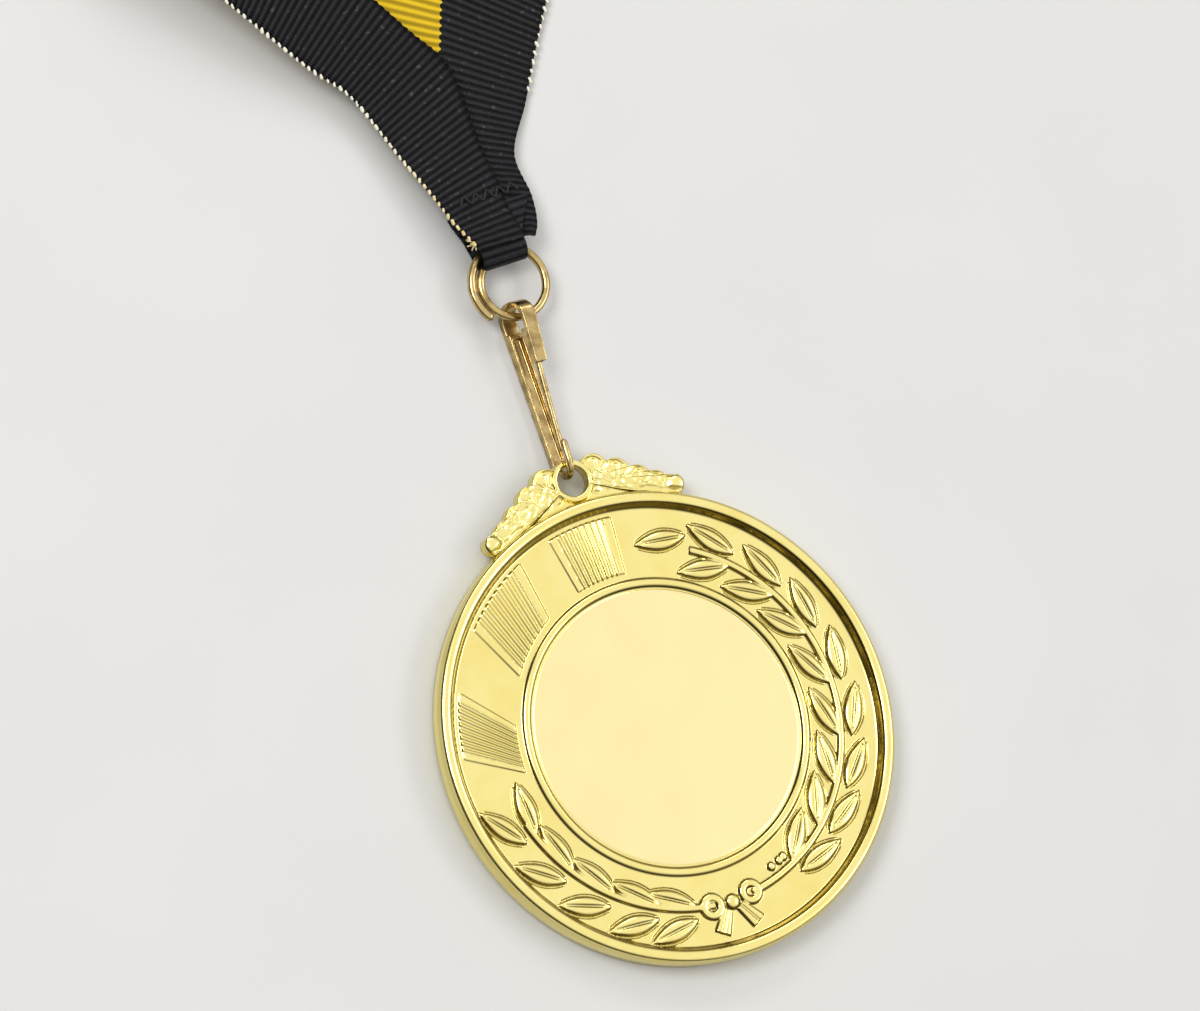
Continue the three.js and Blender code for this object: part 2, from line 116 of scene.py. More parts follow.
# The ray panels: the two outer corners of each, and the point its flutes run from.
PANELS = [
    ((-4.0, 22.6), (1.9, 22.8), (-0.5, -4)),
    ((-15.6, 16.8), (-9.6, 20.7), (-5.3, -7)),
    ((-22.3, 4.4), (-20.8, 9.9), (-6, -5.8)),
]
PANEL_INNER_RADIUS = 16.45
PANEL_OUTER_RADIUS = 22.85
PANEL_RIBS = 8
PANEL_FLOOR = 0.1
PANEL_RIB_RISE = 0.2
PANEL_STEP_RISE = 0.2
PANEL_BORDER = 0.16
PANEL_BORDER_EDGE = 0.05

# ---------------------------------------------------------------- the crest, in mm

HOLE_CENTRE = np.array([0.0, 27.3])
HOLE_RADIUS = 1.65
COLLAR_RADIUS = 2.4
COLLAR_RISE = 0.42
COLLAR_EDGE = 0.25
CREST_BOTTOM = 1.4
CREST_GROUND = 2.3
CREST_OUTER_SIDE = 1.75
CREST_HOLE_SIDE = 2.0
CREST_ROOT_RADIUS = 24.2
CREST_COLUMNS = 720
CREST_RINGS = 44
# (x, y, radius) of the lobes down one side, the last of them the end ball.
CREST_LOBES = [(2.9, 27.9, 1.6), (5.1, 26.7, 1.6), (7.2, 25.4, 1.45), (9.1, 24.4, 1.2), (10.9, 23.6, 1.05)]
FAN_RIDGES = 7
FAN_FLOOR = 0.1
FAN_RISE = 0.16
FAN_EYE_RISE = 0.32
BALL_RISE = 0.55
BALL_CUT_DEPTH = 0.16
CREST_BEAD_RISE = 0.28
CREST_BEAD_HALF_WIDTH = 0.3
CREST_ROLL_WIDTH = 0.25
CREST_EDGE_ROLL = 0.3
CREST_HOLE_ROLL = 0.2

# ---------------------------------------------------------------- the clip and the ring, in mm and degrees

CLIP_VOXEL = 0.07
CLIP_BODY_SMOOTHING = 12
CLIP_GATE_SMOOTHING = 6

RING_CENTRE = np.array([2.0, 49.05, 1.9])
RING_WIRE = 0.45
RING_OUTER_END_RADIUS = 4.5
RING_PITCH = 1.0
RING_START = 216.0
RING_SWEEP = 436.0
RING_STEPS = 260
RING_SIDES = 24

# ---------------------------------------------------------------- the ribbon, in mm

RIBBON_WIDTH = 22.0
RIBBON_THICKNESS = 0.3
RIBBON_COLUMNS = 25
RIB_PITCH = 0.85
RIB_DEPTH = 0.15
COLOUR_OFFSET = 0.5

# Edges of the two straps from the ring outwards, as they lie: the black selvedge, the line where the colours
# meet, and the yellow selvedge. The left strap's yellow half stays folded under its black half.
LEFT_BLACK = [
    (-0.75, 53.15), (-2.1, 57.3), (-4.0, 63.3), (-7.2, 72.4), (-11.2, 77.2), (-18, 86.3), (-26, 97.2),
]
LEFT_MIDDLE = [(4.5, 53.0), (4.4, 57.3), (4.3, 64), (4.3, 72.4), (0.6, 78.2), (-8.0, 90.5), (-20.3, 108.2)]
RIGHT_BLACK = [
    (6.0, 52.9), (6.9, 54.3), (7.7, 57.0), (7.9, 62), (11.6, 67), (15.3, 72.6), (21.5, 81.5), (31.8, 97.2),
]
RIGHT_MIDDLE = [(3.4, 53.9), (2.4, 57.5), (1.8, 64), (3.4, 70.6), (5.2, 75), (11, 86.5), (25.9, 108.2)]
RIGHT_YELLOW = [(3.3, 54.2), (2.3, 57.6), (1.7, 64), (-0.8, 72), (-2.8, 79), (1.5, 90.5), (20, 119.2)]
STRAP_STEPS = 420

# How the folded yellow half lies: in from the black selvedge, further in and further back by the ring.
YELLOW_INSET = 0.08
YELLOW_RING_INSET = 0.3
YELLOW_SET_BACK = 2.0
YELLOW_RING_SPAN = (56, 62)
FOLD_UNDER = 0.45
FOLD_SPAN = (0.5, 0.56)
FOLD_OPEN_Y = (72, 84)
FOLD_OPEN_WIDTH = (2, 9)
PLEATS = 5
PLEAT_RISE = 0.25
PLEAT_END_Y = (54, 66)
PLEAT_END_SHARE = (0.46, 0.5)

# The folded stack: runs to and fro, each a little above the one before.
RUNS = 11
RUN_RISE = 0.4
RUN_FIRST_HEIGHT = 1.2
RUN_SCATTER = 0.5
STACK_NEAR_Y = 97.2
STACK_LEFT_X = -27.6
STACK_RIGHT_X = 33.6
LEFT_CREASE_X = (-26.0, -20.3, -14.6)    # where the left strap turns under onto the stack, across its width
FINE_STEP = 0.15
COARSE_STEP = 1.0
RIBBED_STEP = 0.4
FEWEST_STEPS = 8
FOLD_STEPS = 9
FOLD_BULGE = 1.2

# The flap round the ring: (y, distance from the ring's level) from its end to where it starts to turn.
WRAP_FLAP = [(57.5, 0.6), (56.2, 0.75), (55, 0.98), (54, 1.4)]
WRAP_RADIUS = 1.4
WRAP_CENTRE_Y = 52.65
WRAP_TURN_STEPS = 40
WRAP_STEPS = 150
WRAP_COLUMNS = 21
WRAP_LEFT_X = -0.45
WRAP_RIGHT_X = 4.65
WRAP_LEFT_SPREAD = 1.4
WRAP_RIGHT_SPREAD = 2.6
WRAP_SPREAD_Y = (53, 58)
WRAP_RIB_DEPTH = 0.05
WRAP_ACROSS = (0.5, 10)

# The picot loops of the black selvedge, and the frayed threads by the ring, as ranges of x, y and z.
LEFT_PICOTS = 66
RIGHT_PICOTS = 52
RIGHT_PICOT_FROM_Y = 68
PICOT_LEAN = (-0.04, 0.04)
PICOT_HALF_LENGTH = (0.1, 0.22)
PICOT_RADIUS = (0.12, 0.2)
FRAYED_THREADS = 12
FRAY_RADIUS = 0.07
FRAY_ROOT = ((-1.3, -0.6), (53.4, 55), (3.0, 3.6))
FRAY_REACH = ((-0.7, 0.1), (-0.35, 0.3), (-0.3, 0.3))
FRAY_SAG = np.array([0, 0, -0.15])
FRAY_STEPS = 8

# ---------------------------------------------------------------- colours, linear

GOLD_BRIGHT = (0.98, 0.86, 0.34)
GOLD_DULL = (0.93, 0.78, 0.26)
GOLD_SATIN = (0.97, 0.82, 0.42)
# Painted shade: the dark brown mixed into the gold on the relief's steep sides, and how much of it.
GOLD_PAINTED_SHADE = (0.12, 0.075, 0.004)
PAINTED_SHADE_SHARE = 0.85
CLIP_BRIGHT = (0.6, 0.45, 0.2)
# Darker plate colour, laid in random blotches.
CLIP_DARK_BLOTCH = (0.2, 0.13, 0.045)
# Painted shade and painted light of the ribbon's ribs: darker colours for the hollows between ribs, lighter
# ones for the ribs.
BLACK_VALLEY_PAINTED_SHADE = (0.0003, 0.0003, 0.0004)
BLACK_RIB_PAINTED_LIGHT = (0.02, 0.02, 0.024)
YELLOW_VALLEY_PAINTED_SHADE = (0.3, 0.2, 0.004)
YELLOW_RIB_PAINTED_LIGHT = (0.68, 0.46, 0.015)
# Painted glint colour for specks of painted sheen on the ribs.
FIBRE_GLINT = (0.16, 0.16, 0.17)
TACK_BLACK = (0.004, 0.004, 0.005)
PICOT_BY_RING = (0.62, 0.46, 0.14)
PICOT_PALE = (0.72, 0.7, 0.64)
PICOT_STRAND = (0.8, 0.74, 0.5)
PAPER_DARK = (0.58, 0.58, 0.57)
PAPER_LIGHT = (0.62, 0.62, 0.61)

# ---------------------------------------------------------------- stage, in metres and watts

FLOOR_HALF_SIDE = 3.0
FLOOR_DROP = 0.00005
LIGHT_AIM = (0.0, 0.045, 0.0)
# Name, place, size and power of each area light.
LIGHTS = [
    ("key", (-0.7, 0.5, 1.0), (0.6, 0.5), 8),
    ("fill", (0.9, -0.2, 0.8), (0.8, 0.3), 3),
    ("back", (0.1, 1.1, 0.7), (1.0, 0.25), 3.5),
]
SKY_SIDE_SHARE = 0.3
SKY_RAMP = (("From Min", 0.15), ("From Max", 0.75), ("To Min", 0.03), ("To Max", 0.98))
SKY_COLOUR = (1, 0.98, 0.95, 1)

CAMERA_BACK = Vector((-0.3958, -0.1156, 0.9110))
CAMERA_UP = Vector((0.2942, 0.9238, 0.2450))
CAMERA_TARGET = Vector((0.66, 23.6, 5.3))    # mm
CAMERA_DISTANCE = 867    # mm
CAMERA_LENS = 252
CAMERA_CLIP_START = 0.01

# ---------------------------------------------------------------- mesh helpers

NEARLY_ZERO = 1e-9
THIN = 1e-3
ACROSS_HINT = [0.31, 0.17, 0.93]    # any direction that no wire here starts along
CURVE_STEPS = 40


def grid_faces(rows, columns, wrap=False):
    """Quads of a grid of vertices, closed round its columns if wrap."""
    row = np.arange(rows - 1)[:, None]
    column = np.arange(columns if wrap else columns - 1)[None, :]
    after = (column + 1) % columns
    quads = [
        row * columns + column,
        row * columns + after,
        (row + 1) * columns + after,
        (row + 1) * columns + column,
    ]
    return np.stack(quads, axis=-1).reshape(-1, 4)


def new_piece(name, points, faces, materials, node_body, uv=None):
    """A smooth-shaded object from points in mm, riding on a body, with a value pair per vertex as its UVs."""
    mesh = bpy.data.meshes.new(name)
    mesh.from_pydata((np.asarray(points) * MM).tolist(), [], [list(map(int, face)) for face in faces])
    if uv is not None:
        layer = mesh.uv_layers.new(name="surface")
        corner = np.empty(len(mesh.loops), dtype=np.int64)
        mesh.loops.foreach_get("vertex_index", corner)
        layer.data.foreach_set("uv", np.asarray(uv, dtype=np.float32)[corner].ravel())
    mesh.validate()
    mesh.shade_smooth()
    for material in materials:
        mesh.materials.append(material)
    obj = bpy.data.objects.new(name, mesh)
    bpy.context.scene.collection.objects.link(obj)
    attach(obj, node_body)
    return obj


def outward(obj, merge):
    """Merges an object's points that lie within merge mm of each other and turns its faces outward."""
    work = bmesh.new()
    work.from_mesh(obj.data)
    bmesh.ops.remove_doubles(work, verts=work.verts, dist=merge * MM)
    bmesh.ops.recalc_face_normals(work, faces=work.faces)
    work.to_mesh(obj.data)
    work.free()
    return obj


def thicken(obj):
    """Gives a sheet the ribbon's thickness."""
    solid = obj.modifiers.new("thickness", "SOLIDIFY")
    solid.thickness = RIBBON_THICKNESS * MM
    solid.offset = 0


def tube(path, radius, sides=20, dome=5):
    """Vertices and faces of a round wire with domed ends along a path."""
    path = np.asarray(path, dtype=float)
    tangent = np.gradient(path, axis=0)
    tangent /= np.linalg.norm(tangent, axis=1)[:, None]
    normal = np.cross(tangent[0], ACROSS_HINT)
    normal /= np.linalg.norm(normal)
    turn = np.linspace(0, 2 * math.pi, sides, endpoint=False)
    rings = []

    def ring_at(centre, along, side, size):
        other = np.cross(along, side)
        return centre + size * (np.cos(turn)[:, None] * side + np.sin(turn)[:, None] * other)

    for i in range(dome, 0, -1):
        angle = math.pi / 2 * i / dome
        offset = tangent[0] * radius * math.sin(angle)
        rings.append(ring_at(path[0] - offset, tangent[0], normal, max(radius * math.cos(angle), THIN)))
    for point, along in zip(path, tangent):
        normal = normal - along * normal.dot(along)
        normal /= np.linalg.norm(normal)
        rings.append(ring_at(point, along, normal, radius))
    for i in range(1, dome + 1):
        angle = math.pi / 2 * i / dome
        offset = tangent[-1] * radius * math.sin(angle)
        rings.append(ring_at(path[-1] + offset, tangent[-1], normal, max(radius * math.cos(angle), THIN)))
    faces = grid_faces(len(rings), sides, wrap=True).tolist()
    faces.append(list(range(sides))[::-1])
    faces.append([(len(rings) - 1) * sides + i for i in range(sides)])
    return np.concatenate(rings), faces


def smooth_curve(points, count):
    """Evenly spaced points on a smooth curve through a few given ones."""
    points = np.asarray(points, dtype=float)
    ends = np.vstack([2 * points[0] - points[1], points, 2 * points[-1] - points[-2]])
    samples = []
    for i in range(1, len(ends) - 2):
        a, b, c, d = ends[i - 1 : i + 3]
        for t in np.linspace(0, 1, CURVE_STEPS, endpoint=False):
            slope = (c - a) * t
            bend = (2 * a - 5 * b + 4 * c - d) * t * t
            twist = (3 * b - a - 3 * c + d) * t**3
            samples.append(0.5 * (2 * b + slope + bend + twist))
    samples.append(points[-1])
    samples = np.array(samples)
    length = lengths_along(samples)
    even = np.linspace(0, length[-1], count)
    return np.stack([np.interp(even, length, samples[:, k]) for k in range(points.shape[1])], axis=1)


def lengths_along(points):
    """How far along a line of points each one lies."""
    steps = np.linalg.norm(np.diff(points, axis=0), axis=1)
    return np.concatenate([[0], np.cumsum(steps)])


def smoothstep(value, low, high):
    """A soft step from 0 at low to 1 at high."""
    share = np.clip((value - low) / (high - low), 0, 1)
    return share * share * (3 - 2 * share)


# ---------------------------------------------------------------- material helpers


def socket_of(sockets, identifier):
    """A node's socket by its identifier, where several share one name."""
    return next(socket for socket in sockets if socket.identifier == identifier)


class Shader:
    """A principled material and short ways to add nodes to it."""

    def __init__(self, name, colour, roughness, metallic=0.0):
        self.material = bpy.data.materials.new(name)
        self.material.use_nodes = True
        self.nodes = self.material.node_tree.nodes
        self.links = self.material.node_tree.links
        self.principled = self.nodes["Principled BSDF"]
        self.principled.inputs["Base Color"].default_value = (*colour, 1)
        self.principled.inputs["Roughness"].default_value = roughness
        self.principled.inputs["Metallic"].default_value = metallic

    def put(self, value, socket):
        """Links an output to a socket, or sets the socket's own value."""
        if isinstance(value, bpy.types.NodeSocket):
            self.links.new(value, socket)
        elif isinstance(value, tuple):
            socket.default_value = (*value, 1) if len(value) == 3 and socket.type == "RGBA" else value
        else:
            socket.default_value = value

    def math(self, operation, first, second=0.0):
        node = self.nodes.new("ShaderNodeMath")
        node.operation = operation
        self.put(first, node.inputs[0])
        self.put(second, node.inputs[1])
        return node.outputs[0]

    def mix(self, share, first, second):
        node = self.nodes.new("ShaderNodeMix")
        node.data_type = "RGBA"
        self.put(share, socket_of(node.inputs, "Factor_Float"))
        self.put(first, socket_of(node.inputs, "A_Color"))
        self.put(second, socket_of(node.inputs, "B_Color"))
        return socket_of(node.outputs, "Result_Color")

    def ramp(self, value, low, high, to_low=0.0, to_high=1.0):
        node = self.nodes.new("ShaderNodeMapRange")
        self.put(value, node.inputs["Value"])
        self.put(low, node.inputs["From Min"])
        self.put(high, node.inputs["From Max"])
        self.put(to_low, node.inputs["To Min"])
        self.put(to_high, node.inputs["To Max"])
        return node.outputs["Result"]

    def position(self):
        return self.nodes.new("ShaderNodeTexCoord").outputs["Object"]

    def surface_uv(self):
        """The two values that the piece's UV map holds."""
        node = self.nodes.new("ShaderNodeUVMap")
        node.uv_map = "surface"
        split = self.nodes.new("ShaderNodeSeparateXYZ")
        self.links.new(node.outputs["UV"], split.inputs[0])
        return split.outputs["X"], split.outputs["Y"]

    def noise(self, scale, detail=3.0):
        node = self.nodes.new("ShaderNodeTexNoise")
        node.inputs["Scale"].default_value = scale
        node.inputs["Detail"].default_value = detail
        self.links.new(self.position(), node.inputs["Vector"])
        return node.outputs["Fac"]

    def bump(self, height, distance_mm, strength):
        node = self.nodes.new("ShaderNodeBump")
        node.inputs["Distance"].default_value = distance_mm * MM
        node.inputs["Strength"].default_value = strength
        self.links.new(height, node.inputs["Height"])
        self.links.new(node.outputs["Normal"], self.principled.inputs["Normal"])

    def set(self, socket, value):
        self.put(value, self.principled.inputs[socket])


def medal_gold():
    """Lemon gold plate: bright polish, painted shade in darker brown where the relief turns away, and a satin
    centre.
    """
    shader = Shader("medal_gold", (0.95, 0.76, 0.24), 0.2, 1.0)
    painted_shade, satin = shader.surface_uv()
    smear = shader.noise(260, 4)
    bright = shader.mix(shader.ramp(smear, 0.4, 0.75), GOLD_BRIGHT, GOLD_DULL)
    plated = shader.mix(satin, bright, GOLD_SATIN)
    # Painted shade: the gold turns dark brown on the relief's steep sides.
    shader.set("Base Color", shader.mix(shader.math("MULTIPLY", painted_shade, PAINTED_SHADE_SHARE), plated, GOLD_PAINTED_SHADE))
    polish = shader.ramp(smear, 0.3, 0.75, 0.17, 0.22)
    shader.set("Roughness", shader.math("ADD", polish, shader.math("MULTIPLY", satin, 0.12)))
    grain = shader.noise(5200, 2)
    shader.bump(grain, 0.006, 0.5)
    return shader.material


def clip_gold():
    """Browner plate over drawn wire, darker and rougher in random blotches, with a fine grain."""
    shader = Shader("clip_gold", (0.82, 0.6, 0.34), 0.2, 1.0)
    dark_blotches = shader.noise(700, 4)
    shader.set("Base Color", shader.mix(shader.ramp(dark_blotches, 0.45, 0.75), CLIP_BRIGHT, CLIP_DARK_BLOTCH))
    shader.set("Roughness", shader.ramp(dark_blotches, 0.3, 0.8, 0.14, 0.32))
    shader.bump(shader.noise(4200, 2), 0.008, 0.5)
    return shader.material


def grosgrain():
    """Ribbed ribbon, black on one half of its width and yellow on the other, with painted shade between the
    ribs and painted light on them.
    """
    warp_pitch = 0.34
    colour_line_wave = 0.16
    shader = Shader("two_colour_grosgrain", (0.01, 0.01, 0.012), 0.62)
    along, across = shader.surface_uv()
    phase = shader.math("MULTIPLY", along, 2 * math.pi / RIB_PITCH)
    rib = shader.math("COSINE", phase)
    edge = shader.math("ADD", across, shader.math("MULTIPLY", rib, colour_line_wave))
    yellow = shader.math("GREATER_THAN", edge, RIBBON_WIDTH / 2 + COLOUR_OFFSET)
    fibre = shader.noise(2600, 3)
    # Painted shade between the ribs and painted light on them, following the rib wave.
    lit_rib_share = shader.ramp(rib, -1.0, 0.6)
    black = shader.mix(lit_rib_share, BLACK_VALLEY_PAINTED_SHADE, BLACK_RIB_PAINTED_LIGHT)
    gold = shader.mix(lit_rib_share, YELLOW_VALLEY_PAINTED_SHADE, YELLOW_RIB_PAINTED_LIGHT)
    base = shader.mix(yellow, black, gold)
    warp = shader.math("SINE", shader.math("MULTIPLY", across, 2 * math.pi / warp_pitch))
    # Painted glints: pale specks of painted sheen, only on the lit ribs.
    glints = shader.ramp(shader.noise(1500, 2), 0.62, 0.75, 0, 0.35)
    shader.set("Base Color", shader.mix(shader.math("MULTIPLY", glints, lit_rib_share), base, FIBRE_GLINT))
    shader.set("Roughness", shader.ramp(fibre, 0.3, 0.7, 0.48, 0.75))
    shader.set("Specular IOR Level", 0.12)
    threads = shader.math("ADD", shader.math("MULTIPLY", warp, 0.35), shader.math("MULTIPLY", fibre, 0.8))
    shader.bump(shader.math("ADD", shader.math("MULTIPLY", rib, 0.8), threads), 0.06, 0.8)
    return shader.material


def thread(name, colour):
    """Twisted sewing thread."""
    shader = Shader(name, colour, 0.6)
    strand = shader.noise(6000, 2)
    dark = tuple(0.6 * c for c in colour)
    shader.set("Base Color", shader.mix(shader.ramp(strand, 0.35, 0.65), dark, colour))
    shader.set("Roughness", shader.ramp(strand, 0.3, 0.7, 0.5, 0.8))
    shader.bump(strand, 0.05, 0.8)
    return shader.material


def picot_thread():
    """Pale edge thread that turns yellow towards the ring."""
    yellow_until, pale_from = 0.058, 0.07    # metres along Y
    shader = Shader("picot_thread", (0.6, 0.57, 0.45), 0.6)
    split = shader.nodes.new("ShaderNodeSeparateXYZ")
    shader.links.new(shader.position(), split.inputs[0])
    strand = shader.noise(3000, 3)
    place = shader.ramp(split.outputs["Y"], yellow_until, pale_from)
    colour = shader.mix(place, PICOT_BY_RING, PICOT_PALE)
    shader.set("Base Color", shader.mix(shader.ramp(strand, 0.35, 0.7), colour, PICOT_STRAND))
    shader.set("Roughness", shader.ramp(strand, 0.3, 0.7, 0.5, 0.8))
    shader.bump(strand, 0.05, 0.8)
    return shader.material


# ---------------------------------------------------------------- the medal's relief


def polar(radius, degrees):
    """A point at a radius and an angle counted clockwise from the crest."""
    return radius * math.sin(math.radians(degrees)), radius * math.cos(math.radians(degrees))


def leaf_height(x, y, base, heading):
    """A pointed laurel leaf with a groove along its middle and a cut round its edge."""
    sin, cos = math.sin(math.radians(heading)), math.cos(math.radians(heading))
    dx, dy = x - base[0], y - base[1]
    along = np.clip((dx * sin + dy * cos) / LEAF_LENGTH, 0, 1)
    across = (dx * cos - dy * sin) / (LEAF_WIDTH / 2)
    outline = np.maximum(np.sin(math.pi * along**0.9), 0) ** 0.9
    inside = np.clip(1 - (across / np.maximum(outline, THIN)) ** 2, 0, 1)
    veined = (along > VEIN_SPAN[0]) * (along < VEIN_SPAN[1])
    vein = VEIN_DEPTH * np.exp(-((across / VEIN_WIDTH) ** 2)) * veined
    off_edge = (np.abs(across) - outline - LEAF_CUT_PLACE) / LEAF_CUT_WIDTH
    cut = LEAF_CUT_DEPTH * np.exp(-(off_edge**2)) * (outline > LEAF_CUT_FROM)
    return LEAF_RISE * outline**0.4 * (np.sqrt(inside) - vein * (inside > 0.05)) - cut


def branch(pair_angles, turn, splay):
    """Bases and headings of a branch's pairs of leaves: turn is -1 on the right branch and +1 on the left."""
    inner_splay, outer_splay = splay
    leaves = []
    for angle in pair_angles:
        forward = angle + turn * 90
        leaves.append((polar(STEM_RADIUS - INNER_LEAF_INSET, angle), forward + turn * inner_splay))
        leaves.append((polar(STEM_RADIUS + OUTER_LEAF_OFFSET, angle), forward - turn * outer_splay))
    return leaves


def laurel():
    """Every leaf of the two branches."""
    tip = [(polar(STEM_RADIUS + TIP_LEAF_OFFSET, TIP_LEAF_ANGLE), TIP_LEAF_HEADING)]
    return tip + branch(RIGHT_LEAVES, -1, RIGHT_SPLAY) + branch(LEFT_LEAVES, 1, LEFT_SPLAY)


def stem_height(x, y, first, last):
    """A thin round stem along the branch circle between two clockwise angles."""
    angle = np.degrees(np.arctan2(x, y))
    near = np.clip(1 - ((np.hypot(x, y) - STEM_RADIUS) / STEM_HALF_WIDTH) ** 2, 0, 1)
    return STEM_RISE * np.sqrt(near) * ((angle > first) & (angle < last))


def panel_height(x, y, start, end, aim):
    """A block of round flutes with a step along each side."""
    radius = np.hypot(x, y)
    first = math.atan2(start[0] - aim[0], start[1] - aim[1])
    last = math.atan2(end[0] - aim[0], end[1] - aim[1])
    share = (np.arctan2(x - aim[0], y - aim[1]) - first) / (last - first)
    inner_end = smoothstep(radius, PANEL_INNER_RADIUS, PANEL_INNER_RADIUS + 0.25)
    outer_end = 1 - smoothstep(radius, PANEL_OUTER_RADIUS - 0.3, PANEL_OUTER_RADIUS)
    ends = inner_end * outer_end
    flutes = PANEL_FLOOR + PANEL_RIB_RISE * (0.5 - 0.5 * np.cos(2 * math.pi * PANEL_RIBS * share))
    inside = (share > 0) & (share < 1)
    border = PANEL_STEP_RISE * smoothstep(share, -PANEL_BORDER, -PANEL_BORDER + PANEL_BORDER_EDGE)
    border = border * (1 - smoothstep(share, 1 + PANEL_BORDER - PANEL_BORDER_EDGE, 1 + PANEL_BORDER))
    return ends * np.where(inside, flutes, border)


def dome(x, y, centre, radius, rise):
    """A round bump."""
    return rise * np.sqrt(np.clip(1 - ((x - centre[0]) ** 2 + (y - centre[1]) ** 2) / radius**2, 0, 1))


def loop_height(x, y, centre, radius, half_width, rise):
    """A round ring, as a bow's loop."""
    distance = np.hypot(x - centre[0], y - centre[1])
    return rise * np.sqrt(np.clip(1 - ((distance - radius) / half_width) ** 2, 0, 1))


def tail_height(x, y, start, end):
    """A short strip with a square end that widens outwards and has a groove along its middle."""
    start, end = np.array(start), np.array(end)
    length = np.linalg.norm(end - start)
    along = ((x - start[0]) * (end - start)[0] + (y - start[1]) * (end - start)[1]) / length
    across = np.abs((x - start[0]) * (end - start)[1] - (y - start[1]) * (end - start)[0]) / length
    width = BOW_TAIL_HALF_WIDTH * (1 + 0.5 * along / length)
    inside = (along > 0) & (along < length)
    groove = 1 - 0.4 * np.exp(-((across / 0.15) ** 2))
    return BOW_TAIL_RISE * inside * np.sqrt(np.clip(1 - (across / width) ** 4, 0, 1)) * groove


def bow_height(x, y):
    """The bow that ties the two branches: two loops, a knot and two tails."""
    parts = [loop_height(x, y, *loop, BOW_LOOP_RISE) for loop in BOW_LOOPS]
    parts.append(dome(x, y, *BOW_KNOT))
    parts += [tail_height(x, y, *tail) for tail in BOW_TAILS]
    return np.maximum.reduce(parts)


def relief_height(x, y):
    """How far the raised work stands over the field."""
    leaves = np.array([leaf_height(x, y, base, heading) for base, heading in laurel()])
    total = np.where(leaves.max(axis=0) > 0.02, leaves.max(axis=0), leaves.min(axis=0))
    raised = [stem_height(x, y, *RIGHT_STEM), stem_height(x, y, *LEFT_STEM), bow_height(x, y)]
    raised += [panel_height(x, y, *panel) for panel in PANELS]
    raised += [dome(x, y, polar(BERRY_PLACE, angle), BERRY_RADIUS, BERRY_RISE) for angle in BERRIES]
    raised = np.maximum.reduce(raised)
    return np.where(raised > 0, np.maximum(total, raised), total)


def medal_profile(radius):
    """Height of the plain turned surface at a radius."""
    return np.interp(radius, [knot[0] for knot in FACE_PROFILE], [knot[1] for knot in FACE_PROFILE])


def face_radii():
    """Radii of the face's rings of points, from the rim to the middle."""
    return np.concatenate([
        np.linspace(MEDAL_RADIUS, FIELD_RADIUS, RIM_RINGS, endpoint=False),
        np.linspace(FIELD_RADIUS, BEAD_OUTER_RADIUS, FIELD_RINGS, endpoint=False),
        np.linspace(BEAD_OUTER_RADIUS, BEAD_INNER_RADIUS, BEAD_RINGS),
        CENTRE_RINGS,
    ])


def disc_mesh():
    """The disc's skin as rings from the middle of the back, round the rim, to the middle of the face."""
    columns = DISC_COLUMNS
    turn = np.linspace(0, 2 * math.pi, columns, endpoint=False)
    rows, values = [], []
    for radius, height in BACK_PROFILE:
        x, y = radius * np.sin(turn), radius * np.cos(turn)
        rows.append(np.stack([x, y, np.full(columns, height)], axis=1))
        values.append(np.tile([0.0, 0.0], (columns, 1)))
    for radius in face_radii():
        x, y = radius * np.sin(turn), radius * np.cos(turn)
        worked = BEAD_OUTER_RADIUS < radius < FIELD_RADIUS + 0.2
        relief = relief_height(x, y) if worked else np.zeros(columns)
        height = medal_profile(radius) + relief
        rows.append(np.stack([x, y, height], axis=1))
        satin = float(radius < SATIN_RADIUS)
        values.append(np.tile([0.0, satin], (columns, 1)))
    values = paint_slope_shade(np.array(rows), np.array(values))
    return np.concatenate(rows), grid_faces(len(rows), columns, wrap=True), np.concatenate(values)


def paint_slope_shade(rows, values):
    """Puts painted shade into the first value by how steep the surface is: 0 where level, up to 1 on the
    relief's sides.
    """
    down = np.gradient(rows, axis=0)
    across = np.roll(rows, -1, axis=1) - np.roll(rows, 1, axis=1)
    normal = np.cross(down, across)
    level = np.abs(normal[:, :, 2]) / np.maximum(np.linalg.norm(normal, axis=2), NEARLY_ZERO)
    x, y, height = rows[:, :, 0], rows[:, :, 1], rows[:, :, 2]
    radius = np.hypot(x, y)
    worked = (radius > WORKED_INNER_RADIUS) & (radius < WORKED_OUTER_RADIUS)
    share = np.where(worked, 1, np.where(radius < WORKED_INNER_RADIUS, 0, OUTER_PAINTED_SHADE))
    on_panel = np.maximum.reduce([panel_height(x, y, *panel) for panel in PANELS]) > 0
    share = np.where(on_panel, PANEL_PAINTED_SHADE, share)
    values[:, :, 0] = smoothstep(1 - level, *PAINTED_SHADE_SLOPES) * (height > WORKED_LOWEST) * share
    return values


def crest_outline(angle):
    """How far the crest reaches from the middle of its hole along an angle."""
    direction = np.array([math.sin(angle), math.cos(angle)])
    reach = COLLAR_RADIUS
    for side in (-1, 1):
        for x, y, radius in CREST_LOBES:
            to_lobe = np.array([side * x, y]) - HOLE_CENTRE
            middle = to_lobe @ direction
            gap = radius**2 - (to_lobe @ to_lobe - middle**2)
            if gap > 0:
                reach = max(reach, middle + math.sqrt(gap))
    middle = -HOLE_CENTRE @ direction
    gap = CREST_ROOT_RADIUS**2 - (HOLE_CENTRE @ HOLE_CENTRE - middle**2)
    if gap > 0:
        reach = max(reach, middle - math.sqrt(gap))
    return reach


